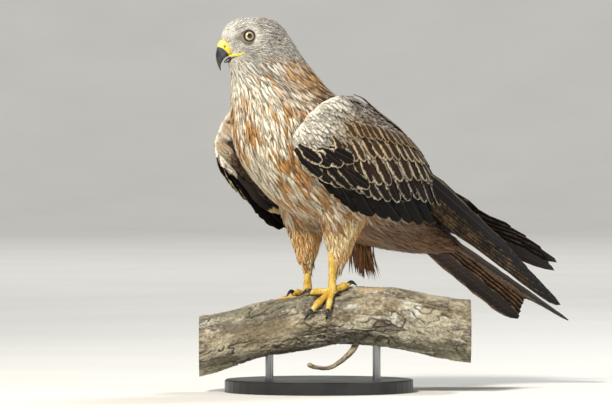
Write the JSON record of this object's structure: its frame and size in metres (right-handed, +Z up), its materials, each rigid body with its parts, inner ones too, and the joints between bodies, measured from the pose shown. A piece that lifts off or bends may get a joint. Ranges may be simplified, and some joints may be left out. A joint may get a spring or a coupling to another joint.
{
  "type": "red kite bird display model",
  "caption": "Life-size still model of an adult red kite with forked tail and folded wings, gripping a short cut branch on a round stand",
  "frame": {"origin": "centre of the flat underside of the stand's round base", "axes": "+Z up; the bird faces -Y and its left side is +X"},
  "size_m": [0.2807, 0.5532, 0.4686],
  "materials": {
    "head_feathers": "short whitish-grey feathers with fine dark streaks",
    "neck_feathers": "long pointed pale buff feathers with dark shaft streaks",
    "body_feathers": "soft rufous-buff feathers with pale and dark streaks",
    "wing_feathers": "dark brown feathers with pale buff edges",
    "tail_feathers": "smooth rufous-brown feathers with dark bars and dark outer edges",
    "yellow_skin": "scaly yellow skin",
    "claw_horn": "smooth black horn",
    "bill_horn": "smooth black horn with a yellow waxy base",
    "eye": "clear glossy eye with a pale yellow-grey iris",
    "bark": "rough fissured grey-brown bark with pale lichen",
    "stand_base_paint": "satin black paint",
    "stand_rod_steel": "brushed steel"
  },
  "bodies": {
    "root": {"head": "head_feathers", "neck": "neck_feathers", "torso": "body_feathers", "wing_left": "wing_feathers", "wing_right": "wing_feathers", "tail": "tail_feathers", "thigh_left": "body_feathers", "thigh_right": "body_feathers", "foot_left": "yellow_skin", "foot_right": "yellow_skin", "claw_left_inner": "claw_horn", "claw_left_middle": "claw_horn", "claw_left_outer": "claw_horn", "claw_left_hind": "claw_horn", "claw_right_inner": "claw_horn", "claw_right_middle": "claw_horn", "claw_right_outer": "claw_horn", "claw_right_hind": "claw_horn", "bill_upper": "bill_horn", "bill_lower": "bill_horn", "eye_left": "eye", "eye_right": "eye", "perch": "bark", "stand_base": "stand_base_paint", "stand_rod_1": "stand_rod_steel", "stand_rod_2": "stand_rod_steel"}
  },
  "joints": []
}
